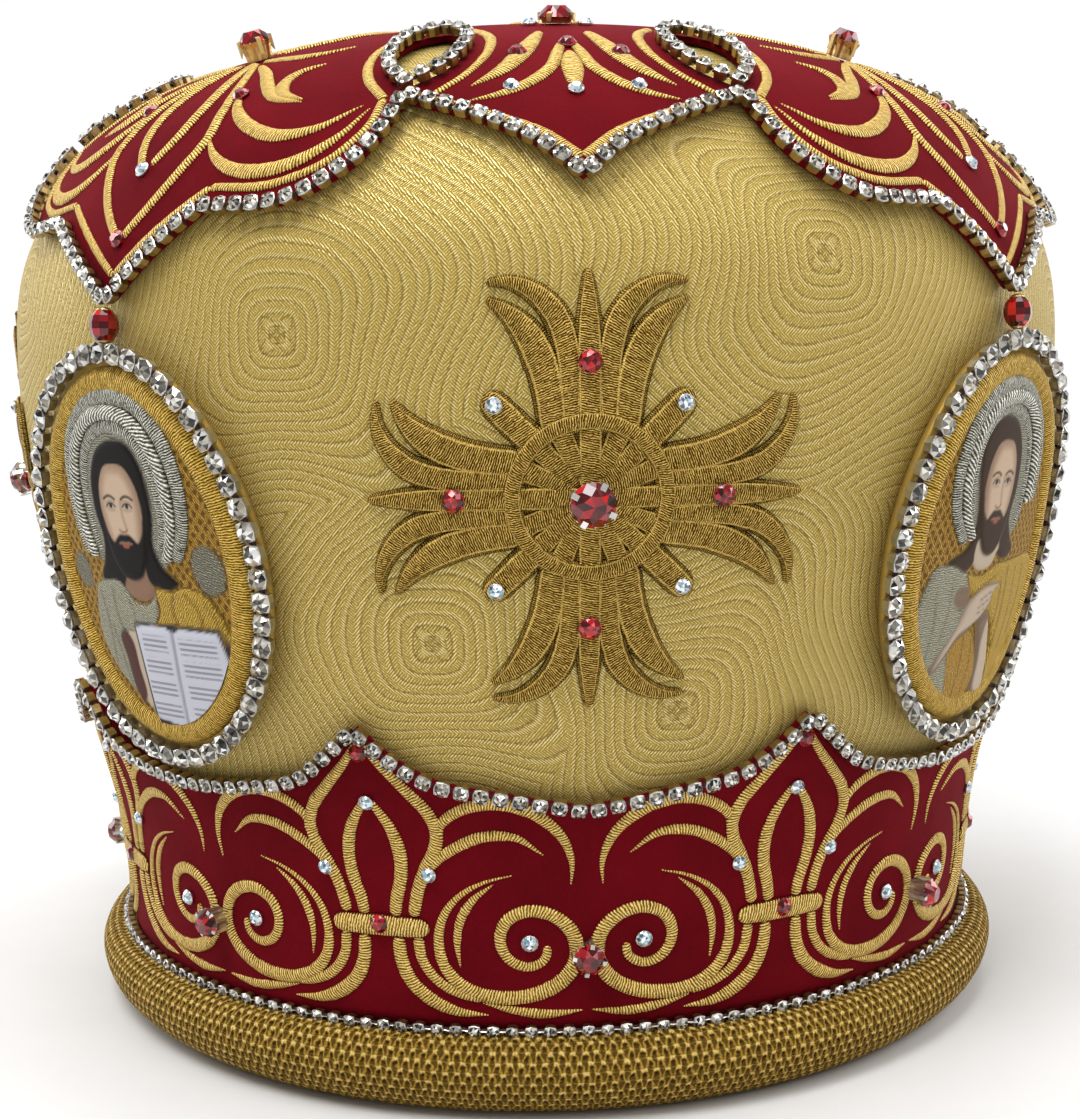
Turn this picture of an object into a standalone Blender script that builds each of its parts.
"""Jewelled bishop's mitre of the crown-shaped Eastern kind.

A stiff domed crown, open below, stands on a padded crochet roll. A velvet band with a scalloped edge goes
round its foot and a velvet cap of eight petals covers its top. Four icon ovals face front, back, left and
right, with four raised crosses between them. Chains of stones run along every velvet edge and round each
icon.

Frame: metres, +Z up, origin on the floor at the centre of the roll. The front icon faces -Y. Azimuth 0 is
the front, 90 is +X. Every applied piece is placed on the crown by its azimuth in degrees, by the distance
along the crown's outer face from its foot, and by its height above that face.
"""

import math

import bpy
import bmesh
import numpy as np
from mathutils import Vector

MM = 0.001
COLLECTION_NAME = "bishop_mitre"

# Crown: outer face of the brocade, from foot to centre, in millimetres
CROWN_SECTION = (
    # radius, height
    (102.5, 16.0),
    (106.0, 50.0),
    (114.8, 85.0),
    (121.0, 115.0),
    (125.2, 145.0),
    (122.5, 175.0),
    (109.0, 197.0),
    (94.5, 208.0),
    (72.0, 217.0),
    (45.0, 222.0),
    (20.0, 225.0),
    (0.0, 226.0),
)
CROWN_WALL = 3.0 * MM
CROWN_BODY_DEPTH = 0.7 * MM
CROWN_OUTER_ROWS = (0.0, 34.0, 66.0, 95.0, 122.0, 145.0, 162.0, 177.0, 191.0, 206.0, 224.0, 248.0)
CROWN_INNER_ROWS = (0.0, 66.0, 128.0, 168.0, 196.0, 240.0)
TURNED_STEPS = 32
SECTION_STEPS = 40

# Roll: padded ring under the crown's foot, in millimetres, run down its outer side
ROLL_SECTION = (
    # radius, height
    (104.2, 14.2),
    (109.8, 16.2),
    (111.9, 12.4),
    (111.2, 7.4),
    (107.6, 2.6),
    (102.8, 0.0),
    (97.2, 0.0),
    (94.4, 3.0),
    (93.8, 9.0),
    (96.6, 15.0),
)

# Velvet: one thickness of cloth laid close over the crown
VELVET_GAP = 0.5 * MM
VELVET_THICKNESS = 1.2 * MM
VELVET_FACE = VELVET_GAP + VELVET_THICKNESS

# The ornament repeats every 90 degrees and is mirrored in each cross axis and each icon axis, so half
# a quarter is enough: degrees from the cross axis to the icon axis, millimetres up from the foot.
HALF_QUARTER = 45.0
CROSS_AZIMUTHS = (45.0, 135.0, 225.0, 315.0)
ICON_AZIMUTHS = (0.0, 90.0, 180.0, 270.0)

BAND_TOP_EDGE = (
    # degrees from cross axis, distance from foot
    (0.0, 50.0),
    (8.0, 52.8),
    (16.0, 56.4),
    (18.9, 61.0),
    (22.5, 66.8),
    (26.1, 61.0),
    (29.0, 55.6),
    (37.0, 51.8),
    (45.0, 50.4),
)
BAND_MIDDLE = 26.0

# Cap: rows of points from its scalloped edge to the last ring before the centre. In each row the fourth
# point lies on the axis of a window, and its neighbours are the window's sides.
CAP_ROWS = (
    # degrees from cross axis and distance from foot, ten points a row
    ((0.0, 168.0), (4.0, 175.8), (14.0, 185.2), (16.6, 187.2), (17.3, 181.5),
     (20.4, 171.4), (26.5, 164.6), (34.8, 164.8), (39.9, 156.6), (45.0, 148.4)),
    ((0.0, 179.5), (4.0, 183.0), (14.6, 188.4), (16.7, 189.3), (17.7, 187.0),
     (21.2, 180.5), (27.0, 176.5), (34.9, 176.0), (40.0, 172.0), (45.0, 167.0)),
    ((0.0, 190.5), (4.2, 190.5), (15.2, 192.2), (16.8, 191.2), (18.2, 192.6),
     (21.8, 191.0), (27.6, 190.0), (35.0, 189.0), (40.0, 187.5), (45.0, 186.0)),
    ((0.0, 205.0), (4.4, 205.0), (11.6, 205.0), (16.0, 205.0), (20.2, 205.0),
     (24.0, 205.0), (29.0, 205.0), (35.5, 205.0), (40.2, 205.0), (45.0, 205.0)),
    ((0.0, 220.0), (4.6, 220.0), (12.8, 216.5), (15.8, 218.5), (19.0, 216.5),
     (23.4, 219.0), (29.0, 220.0), (35.5, 220.0), (40.2, 220.0), (45.0, 220.0)),
    ((0.0, 245.0), (5.0, 245.0), (10.0, 245.0), (15.0, 245.0), (20.0, 245.0),
     (25.0, 245.0), (30.0, 245.0), (35.0, 245.0), (40.0, 245.0), (45.0, 245.0)),
)
WINDOW_COLUMN = 3
WINDOW_ROWS = (2, 4)

# Chains of stones: thickness, and the middle of each one's path
FINE_CHAIN_RADIUS = 1.5 * MM
ICON_CHAIN_RADIUS = 2.0 * MM
CHAIN_CLEARANCE = 0.6 * MM
CHAIN_BEVEL_RESOLUTION = 2
FOOT_CHAIN_DISTANCE = 1.8 * MM
FOOT_CHAIN_POINTS = 32
BAND_CHAIN_PATH = (
    # degrees from cross axis, distance from foot
    (0.0, 49.6),
    (8.0, 52.4),
    (15.0, 55.4),
    (19.0, 60.6),
    (22.5, 65.8),
    (26.0, 60.6),
    (30.0, 54.6),
    (37.5, 51.4),
    (45.0, 50.0),
)
CAP_CHAIN_PATH = (
    # degrees from cross axis, distance from foot
    (0.0, 168.8),
    (3.8, 176.0),
    (9.0, 181.8),
    (15.4, 186.6),
    (17.6, 181.0),
    (20.8, 172.2),
    (26.6, 165.4),
    (34.6, 165.2),
    (39.8, 157.6),
    (45.0, 149.4),
)
WINDOW_CHAIN_PATH = (
    # degrees from cross axis, distance from foot
    (16.9, 191.4),
    (12.6, 200.0),
    (11.8, 209.5),
    (16.2, 218.4),
    (20.3, 208.6),
    (19.6, 199.0),
)

# Icon ovals: a stiff plate that carries the chain, with a padded picture raised in its middle
ICON_CENTRE_DISTANCE = 98.0 * MM
ICON_POINTS = 16
ICON_PLATE_HALF_WIDTH = 34.3 * MM
ICON_PLATE_HALF_HEIGHT = 42.7 * MM
ICON_PICTURE_HALF_WIDTH = 29.6 * MM
ICON_PICTURE_HALF_HEIGHT = 38.0 * MM
ICON_CHAIN_HALF_WIDTH = 32.2 * MM
ICON_CHAIN_HALF_HEIGHT = 40.6 * MM
ICON_GAP = 0.3 * MM
ICON_PLATE_FACE = 2.9 * MM
ICON_PICTURE_FACE = 4.4 * MM
ICON_SIDE_LIFT = 1.8 * MM
ICON_MIDDLE_RING = 0.5

# Raised cross: half an arm's outline, from the arm's tip to the bar between two arms
CROSS_CENTRE_DISTANCE = 111.2 * MM
CROSS_HALF_ARM = (
    # degrees from arm axis, distance from the centre in millimetres
    (0.0, 41.5),
    (6.0, 31.0),
    (21.5, 43.5),
    (26.5, 25.0),
    (36.0, 16.0),
    (45.0, 24.4),
)
CROSS_RING_RADIUS = 14.0 * MM
CROSS_GAP = 0.5 * MM
CROSS_ARM_FACE = 2.8 * MM
CROSS_RING_FACE = 3.6 * MM

# Claw-set stones: (girdle radius, table radius, height of setting, height of stone)
STONE_SIDES = 8
STONE_CROSS = (4.2 * MM, 2.5 * MM, 2.6 * MM, 2.2 * MM)
STONE_BAND = (3.2 * MM, 1.9 * MM, 3.8 * MM, 2.0 * MM)
STONE_LARGE_PETAL = (3.5 * MM, 2.1 * MM, 3.8 * MM, 2.2 * MM)
STONE_SMALL_PETAL = (3.8 * MM, 2.3 * MM, 1.3 * MM, 2.2 * MM)
SETTING_FOOT_RATIO = 0.72
STONE_CLEARANCE = 0.35 * MM
BAND_STONE_DISTANCE = 18.0 * MM
LARGE_PETAL_STONE_DISTANCE = 215.0 * MM
SMALL_PETAL_STONE_DISTANCE = 232.0 * MM

# Beads that hang from the large petals' tips
BEAD_SIDES = 10
BEAD_RADIUS = 2.8 * MM
BEAD_END_RADIUS = 1.5 * MM
BEAD_HALF_LENGTH = 3.1 * MM
BEAD_SHOULDER = 1.1 * MM
BEAD_DISTANCE = 144.4 * MM
BEAD_HEIGHT = 3.4 * MM

# Colours read by eye: red, green, blue, roughness, metallic
BROCADE_GOLD = (0.62, 0.47, 0.14, 0.55, 0.25)
CROCHET_GOLD = (0.40, 0.26, 0.03, 0.60, 0.35)
EMBROIDERY_GOLD = (0.42, 0.28, 0.05, 0.45, 0.45)
VELVET_RED = (0.20, 0.002, 0.008, 0.85, 0.0)
ICON_GOLD = (0.45, 0.30, 0.08, 0.50, 0.30)
CHAIN_SILVER = (0.80, 0.76, 0.68, 0.20, 0.80)
STONE_RED = (0.35, 0.004, 0.010, 0.08, 0.0)


def spline_through(rows):
    """Smooth curve through the rows: cubic pieces whose slopes are weighted by the lengths beside them."""
    points = np.array(rows, float)
    gaps = np.hypot(*np.diff(points, axis=0).T)
    chords = np.diff(points, axis=0) / gaps[:, None]
    slopes = np.empty_like(points)
    before, after = gaps[:-1, None], gaps[1:, None]
    slopes[1:-1] = (chords[:-1] * after + chords[1:] * before) / (before + after)
    slopes[0], slopes[-1] = chords[0], (-1.0, 0.0)
    t = np.linspace(0.0, 1.0, SECTION_STEPS, endpoint=False)[:, None]
    pieces = []
    for start, end, leave, arrive, gap in zip(points[:-1], points[1:], slopes[:-1], slopes[1:], gaps):
        pieces.append((2 * t ** 3 - 3 * t ** 2 + 1) * start + (t ** 3 - 2 * t ** 2 + t) * gap * leave
                      + (3 * t ** 2 - 2 * t ** 3) * end + (t ** 3 - t ** 2) * gap * arrive)
    return np.vstack(pieces + [points[-1:]])


CROWN_CURVE = spline_through(CROWN_SECTION) * MM
CROWN_DISTANCE = np.concatenate([[0.0], np.cumsum(np.hypot(*np.diff(CROWN_CURVE, axis=0).T))])
CROWN_LENGTH = float(CROWN_DISTANCE[-1])
CROWN_SLOPE = np.gradient(CROWN_CURVE, CROWN_DISTANCE, axis=0)


def crown_section(distance, height=0.0):
    """Radius and height above the floor of a point at this distance up the crown and height above it."""
    radius = float(np.interp(distance, CROWN_DISTANCE, CROWN_CURVE[:, 0]))
    level = float(np.interp(distance, CROWN_DISTANCE, CROWN_CURVE[:, 1]))
    along_r = float(np.interp(distance, CROWN_DISTANCE, CROWN_SLOPE[:, 0]))
    along_z = float(np.interp(distance, CROWN_DISTANCE, CROWN_SLOPE[:, 1]))
    length = math.hypot(along_r, along_z)
    return radius + height * along_z / length, level - height * along_r / length


def on_crown(azimuth, distance, height=0.0):
    """Point on the crown: azimuth in degrees, distance up from the foot and height above it in metres."""
    radius, level = crown_section(distance, height)
    angle = math.radians(azimuth)
    return Vector((radius * math.sin(angle), -radius * math.cos(angle), level))


def beside_centre(azimuth, distance, across, up, height):
    """Point that lies so far across and up from a motif's centre, measured along the crown's face."""
    radius = crown_section(distance + up)[0]
    return on_crown(azimuth + math.degrees(across / radius), distance + up, height)


def new_material(name, colour):
    """One plain finish: red, green, blue, roughness and metallic value."""
    material = bpy.data.materials.new(name)
    material.use_nodes = True
    material.diffuse_color = (*colour[:3], 1.0)
    shader = material.node_tree.nodes["Principled BSDF"]
    shader.inputs["Base Color"].default_value = (*colour[:3], 1.0)
    shader.inputs["Roughness"].default_value = colour[3]
    shader.inputs["Metallic"].default_value = colour[4]
    return material


def add_object(name, data, colour, collection):
    """Put a mesh or curve into the collection under the piece's name, with its own material."""
    piece = bpy.data.objects.new(name, data)
    data.materials.append(new_material(name, colour))
    collection.objects.link(piece)
    return piece


def add_turned(name, section, colour, collection):
    """Turn a section about the vertical axis; it runs down its outer side first."""
    mesh = bpy.data.meshes.new(name)
    count = len(section)
    closed = section[0][0] > 0.0
    edges = [(i, (i + 1) % count) for i in range(count if closed else count - 1)]
    mesh.from_pydata([(radius, 0.0, level) for radius, level in section], edges, [])
    piece = add_object(name, mesh, colour, collection)
    screw = piece.modifiers.new("Turn", "SCREW")
    screw.axis = "Z"
    screw.steps = screw.render_steps = TURNED_STEPS
    screw.use_merge_vertices = True
    screw.merge_threshold = 0.00001
    screw.use_smooth_shade = True
    return piece


def add_crown(collection):
    """Brocade crown: a wall of even thickness, open below, closed over the head."""
    inner_depth = CROWN_BODY_DEPTH + CROWN_WALL
    outer = [crown_section(row * MM, -CROWN_BODY_DEPTH) for row in reversed(CROWN_OUTER_ROWS)]
    inner = [crown_section(row * MM, -inner_depth) for row in CROWN_INNER_ROWS]
    inner[0] = (inner[0][0], outer[-1][1])
    outer.insert(0, (0.0, CROWN_CURVE[-1][1] - CROWN_BODY_DEPTH))
    inner.append((0.0, CROWN_CURVE[-1][1] - inner_depth))
    return add_turned("crown_shell", outer + inner, BROCADE_GOLD, collection)


def add_roll(collection):
    """Padded ring that the crown stands on, with a flat underside."""
    section = [(radius * MM, level * MM) for radius, level in ROLL_SECTION]
    return add_turned("rim_roll", section, CROCHET_GOLD, collection)


def all_round(half_row):
    """Repeat half a quarter's points round the crown, mirrored in the cross and icon axes."""
    forward = list(half_row)
    back = [(2 * HALF_QUARTER - azimuth, distance) for azimuth, distance in reversed(half_row)]
    quarter = forward + back[1:-1]
    return [(cross + azimuth, distance * MM) for cross in CROSS_AZIMUTHS for azimuth, distance in quarter]


def add_cloth(name, rows, holes, centre, colour, collection):
    """Velvet laid over the crown: a grid of points, less its holes, thickened outwards.

    rows hold azimuth and distance pairs, all of one length. holes are (row, column) cells left open.
    centre closes the last row with a fan at the crown's centre.
    """
    mesh = bpy.data.meshes.new(name)
    form = bmesh.new()
    width = len(rows[0])
    grid = [[form.verts.new(on_crown(a, d, VELVET_GAP)) for a, d in row] for row in rows]
    for r, (low, high) in enumerate(zip(grid[:-1], grid[1:])):
        for c in range(width):
            if (r, c) not in holes:
                after = (c + 1) % width
                form.faces.new((low[c], low[after], high[after], high[c]))
    if centre:
        top = form.verts.new(on_crown(0.0, CROWN_LENGTH, VELVET_GAP))
        for c in range(width):
            form.faces.new((grid[-1][c], grid[-1][(c + 1) % width], top))
    loose = [vert for vert in form.verts if not vert.link_faces]
    bmesh.ops.delete(form, geom=loose, context="VERTS")
    form.to_mesh(mesh)
    form.free()
    mesh.shade_smooth()
    piece = add_object(name, mesh, colour, collection)
    wall = piece.modifiers.new("Cloth", "SOLIDIFY")
    wall.thickness = VELVET_THICKNESS
    wall.offset = 1.0
    return piece


def add_band(collection):
    """Velvet band round the foot, with eight peaks on its upper edge."""
    top = all_round(BAND_TOP_EDGE)
    rows = [[(azimuth, distance) for azimuth, _ in top] for distance in (0.0, BAND_MIDDLE * MM)] + [top]
    return add_cloth("velvet_band", rows, set(), False, VELVET_RED, collection)


def add_cap(collection):
    """Velvet cap of four large and four small petals, with a window between each two."""
    rows = [all_round(row) for row in CAP_ROWS]
    half = len(CAP_ROWS[0]) - 1
    holes = set()
    for k in range(2 * len(CROSS_AZIMUTHS)):
        axis = k * half + (WINDOW_COLUMN if k % 2 == 0 else half - WINDOW_COLUMN)
        holes |= {(row, column) for row in range(*WINDOW_ROWS) for column in (axis - 1, axis)}
    return add_cloth("velvet_cap", rows, holes, True, VELVET_RED, collection)


def add_chain(name, points, radius, collection):
    """Closed chain of stones as a tube through its points."""
    curve = bpy.data.curves.new(name, "CURVE")
    curve.dimensions = "3D"
    curve.bevel_depth = radius
    curve.bevel_resolution = CHAIN_BEVEL_RESOLUTION
    curve.use_fill_caps = True
    spline = curve.splines.new("POLY")
    spline.points.add(len(points) - 1)
    for knot, place in zip(spline.points, points):
        knot.co = (*place, 1.0)
    spline.use_cyclic_u = True
    spline.use_smooth = True
    return add_object(name, curve, CHAIN_SILVER, collection)


def add_edge_chains(collection):
    """Chains along the velvet's foot, its scalloped edges and its windows."""
    height = VELVET_FACE + CHAIN_CLEARANCE + FINE_CHAIN_RADIUS
    foot = [on_crown(360.0 * i / FOOT_CHAIN_POINTS, FOOT_CHAIN_DISTANCE, height)
            for i in range(FOOT_CHAIN_POINTS)]
    add_chain("chain_foot", foot, FINE_CHAIN_RADIUS, collection)
    for name, path in (("chain_band", BAND_CHAIN_PATH), ("chain_cap", CAP_CHAIN_PATH)):
        points = [on_crown(azimuth, distance, height) for azimuth, distance in all_round(path)]
        add_chain(name, points, FINE_CHAIN_RADIUS, collection)
    number = 0
    for cross in CROSS_AZIMUTHS:
        for side in (-1, 1):
            number += 1
            points = [on_crown(cross + side * a, d * MM, height) for a, d in WINDOW_CHAIN_PATH]
            add_chain(f"chain_window_{number}", points, FINE_CHAIN_RADIUS, collection)


def oval(azimuth, half_width, half_height, height, lift, scale=1.0):
    """Ring of points on an oval round an icon's centre; its sides stand off further than its middle."""
    ring = []
    for i in range(ICON_POINTS):
        angle = 2 * math.pi * i / ICON_POINTS
        across = scale * half_width * math.cos(angle)
        up = scale * half_height * math.sin(angle)
        stand = height + lift * (across / ICON_PLATE_HALF_WIDTH) ** 2
        ring.append(beside_centre(azimuth, ICON_CENTRE_DISTANCE, across, up, stand))
    return ring


def add_ring_body(name, rings, first, last, colour, collection):
    """Closed body lofted through rings of equal count; first and last are end points, or None if flat."""
    mesh = bpy.data.meshes.new(name)
    form = bmesh.new()
    layers = [[form.verts.new(point) for point in ring] for ring in rings]
    for low, high in zip(layers[:-1], layers[1:]):
        for i in range(len(low)):
            after = (i + 1) % len(low)
            form.faces.new((low[i], low[after], high[after], high[i]))
    for layer, point in ((layers[0], first), (layers[-1], last)):
        if point is None:
            form.faces.new(layer)
        else:
            tip = form.verts.new(point)
            for i in range(len(layer)):
                form.faces.new((layer[i], layer[(i + 1) % len(layer)], tip))
    bmesh.ops.recalc_face_normals(form, faces=form.faces)
    form.to_mesh(mesh)
    form.free()
    return add_object(name, mesh, colour, collection)


def add_icons(collection):
    """Four icon ovals and the chain on each plate's rim."""
    plate = (ICON_PLATE_HALF_WIDTH, ICON_PLATE_HALF_HEIGHT)
    picture = (ICON_PICTURE_HALF_WIDTH, ICON_PICTURE_HALF_HEIGHT)
    chain_height = ICON_PLATE_FACE + CHAIN_CLEARANCE + ICON_CHAIN_RADIUS
    for number, azimuth in enumerate(ICON_AZIMUTHS, 1):
        rings = [
            oval(azimuth, *plate, ICON_GAP, 0.0, ICON_MIDDLE_RING),
            oval(azimuth, *plate, ICON_GAP, 0.0),
            oval(azimuth, *plate, ICON_PLATE_FACE, ICON_SIDE_LIFT),
            oval(azimuth, *picture, ICON_PLATE_FACE, ICON_SIDE_LIFT),
            oval(azimuth, *picture, ICON_PICTURE_FACE, ICON_SIDE_LIFT),
            oval(azimuth, *picture, ICON_PICTURE_FACE, ICON_SIDE_LIFT, ICON_MIDDLE_RING),
        ]
        back = on_crown(azimuth, ICON_CENTRE_DISTANCE, ICON_GAP)
        front = on_crown(azimuth, ICON_CENTRE_DISTANCE, ICON_PICTURE_FACE)
        add_ring_body(f"icon_oval_{number}", rings, back, front, ICON_GOLD, collection)
        path = oval(azimuth, ICON_CHAIN_HALF_WIDTH, ICON_CHAIN_HALF_HEIGHT, chain_height, ICON_SIDE_LIFT)
        add_chain(f"chain_icon_{number}", path, ICON_CHAIN_RADIUS, collection)


def cross_outline():
    """Whole outline of a cross as angle and radius: each half arm, mirrored, on four arms."""
    half = list(CROSS_HALF_ARM)
    back = [(2 * HALF_QUARTER - angle, radius) for angle, radius in reversed(half)]
    quarter = half + back[1:-1]
    turns = (0.0, 90.0, 180.0, 270.0)
    return [(math.radians(turn + angle), radius * MM) for turn in turns for angle, radius in quarter]


def add_crosses(collection):
    """Four raised crosses: three plumes on each arm, a ring at the crossing and a bar between arms."""
    outline = cross_outline()

    def ring_at(azimuth, limit, height):
        ring = []
        for angle, radius in outline:
            reach = min(radius, limit)
            ring.append(beside_centre(azimuth, CROSS_CENTRE_DISTANCE, reach * math.cos(angle),
                                      reach * math.sin(angle), height))
        return ring

    widest = max(radius for _, radius in outline)
    for number, azimuth in enumerate(CROSS_AZIMUTHS, 1):
        rings = [
            ring_at(azimuth, CROSS_RING_RADIUS, CROSS_GAP),
            ring_at(azimuth, widest, CROSS_GAP),
            ring_at(azimuth, widest, CROSS_ARM_FACE),
            ring_at(azimuth, CROSS_RING_RADIUS, CROSS_RING_FACE),
        ]
        back = on_crown(azimuth, CROSS_CENTRE_DISTANCE, CROSS_GAP)
        front = on_crown(azimuth, CROSS_CENTRE_DISTANCE, CROSS_RING_FACE)
        add_ring_body(f"cross_{number}", rings, back, front, EMBROIDERY_GOLD, collection)


def add_stone(name, azimuth, distance, seat, sizes, colour, collection):
    """Cut stone with a table and eight facets, fused to the tapered cup that it is set in."""
    girdle, table, setting, stone = sizes
    foot = on_crown(azimuth, distance, seat)
    outwards = (on_crown(azimuth, distance, seat + setting) - foot).normalized()
    sideways = outwards.cross(Vector((0.0, 0.0, 1.0))).normalized()
    upwards = sideways.cross(outwards)
    rings = []
    for radius, height in ((girdle * SETTING_FOOT_RATIO, 0.0), (girdle, setting), (table, setting + stone)):
        ring = []
        for i in range(STONE_SIDES):
            angle = 2 * math.pi * (i + 0.5) / STONE_SIDES
            ring.append(foot + outwards * height + sideways * radius * math.cos(angle)
                        + upwards * radius * math.sin(angle))
        rings.append(ring)
    return add_ring_body(name, rings, None, None, colour, collection)


def add_stones(collection):
    """Claw-set stones: one on each cross, large petal and small petal, and eight round the band."""
    on_velvet = VELVET_FACE + STONE_CLEARANCE
    on_cross = CROSS_RING_FACE + STONE_CLEARANCE
    for number, azimuth in enumerate(CROSS_AZIMUTHS, 1):
        add_stone(f"stone_cross_{number}", azimuth, CROSS_CENTRE_DISTANCE, on_cross, STONE_CROSS,
                  STONE_RED, collection)
        add_stone(f"stone_small_petal_{number}", azimuth, SMALL_PETAL_STONE_DISTANCE, on_velvet,
                  STONE_SMALL_PETAL, STONE_RED, collection)
    for number, azimuth in enumerate(ICON_AZIMUTHS, 1):
        add_stone(f"stone_large_petal_{number}", azimuth, LARGE_PETAL_STONE_DISTANCE, on_velvet,
                  STONE_LARGE_PETAL, STONE_RED, collection)
    for number, azimuth in enumerate(sorted(ICON_AZIMUTHS + CROSS_AZIMUTHS), 1):
        add_stone(f"stone_band_{number}", azimuth, BAND_STONE_DISTANCE, on_velvet, STONE_BAND,
                  STONE_RED, collection)


def add_beads(collection):
    """Long faceted beads between the large petals' tips and the icons."""
    for number, azimuth in enumerate(ICON_AZIMUTHS, 1):
        centre = on_crown(azimuth, BEAD_DISTANCE, BEAD_HEIGHT)
        along = (on_crown(azimuth, BEAD_DISTANCE + BEAD_RADIUS, BEAD_HEIGHT) - centre).normalized()
        outwards = (centre - on_crown(azimuth, BEAD_DISTANCE)).normalized()
        sideways = along.cross(outwards)
        rings = []
        for radius, shift in ((BEAD_END_RADIUS, -BEAD_HALF_LENGTH), (BEAD_RADIUS, -BEAD_SHOULDER),
                              (BEAD_RADIUS, BEAD_SHOULDER), (BEAD_END_RADIUS, BEAD_HALF_LENGTH)):
            ring = []
            for i in range(BEAD_SIDES):
                angle = 2 * math.pi * i / BEAD_SIDES
                ring.append(centre + along * shift + outwards * radius * math.cos(angle)
                            + sideways * radius * math.sin(angle))
            rings.append(ring)
        add_ring_body(f"tip_bead_{number}", rings, None, None, STONE_RED, collection)


def main():
    """Clear the scene and build the mitre into its own collection."""
    for old in list(bpy.data.objects):
        bpy.data.objects.remove(old, do_unlink=True)
    collection = bpy.data.collections.new(COLLECTION_NAME)
    bpy.context.scene.collection.children.link(collection)
    add_crown(collection)
    add_roll(collection)
    add_band(collection)
    add_cap(collection)
    add_edge_chains(collection)
    add_icons(collection)
    add_crosses(collection)
    add_stones(collection)
    add_beads(collection)


main()
